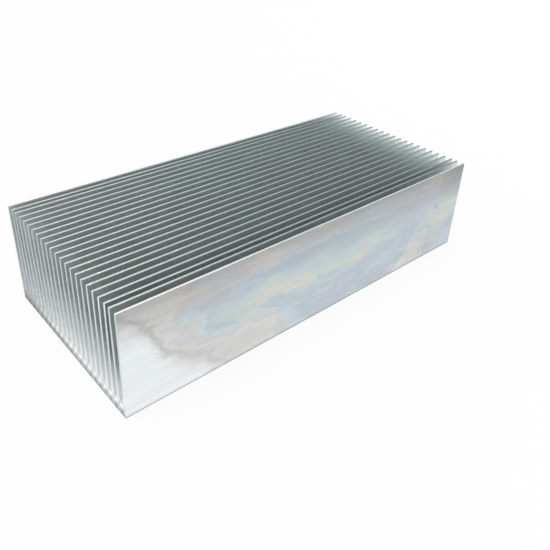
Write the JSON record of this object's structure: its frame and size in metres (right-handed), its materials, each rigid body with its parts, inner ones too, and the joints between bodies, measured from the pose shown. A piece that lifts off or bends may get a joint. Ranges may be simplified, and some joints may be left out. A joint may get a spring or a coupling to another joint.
{
  "type": "extruded heat sink",
  "caption": "Aluminium heat sink cut from one extrusion: a flat rectangular base carrying a close comb of tall, thin, straight fins along its full length, sawn square at both ends.",
  "frame": {"origin": "centre of the flat underside that the part rests on", "axes": "+X along the fins, +Y across them, +Z from the underside up to the fin tips"},
  "size_m": [0.15, 0.069, 0.036],
  "materials": {
    "aluminium": "mill finish, satin, with lengthwise die lines and faint water stains"
  },
  "bodies": {
    "root": {"heat_sink": "aluminium"}
  },
  "joints": []
}
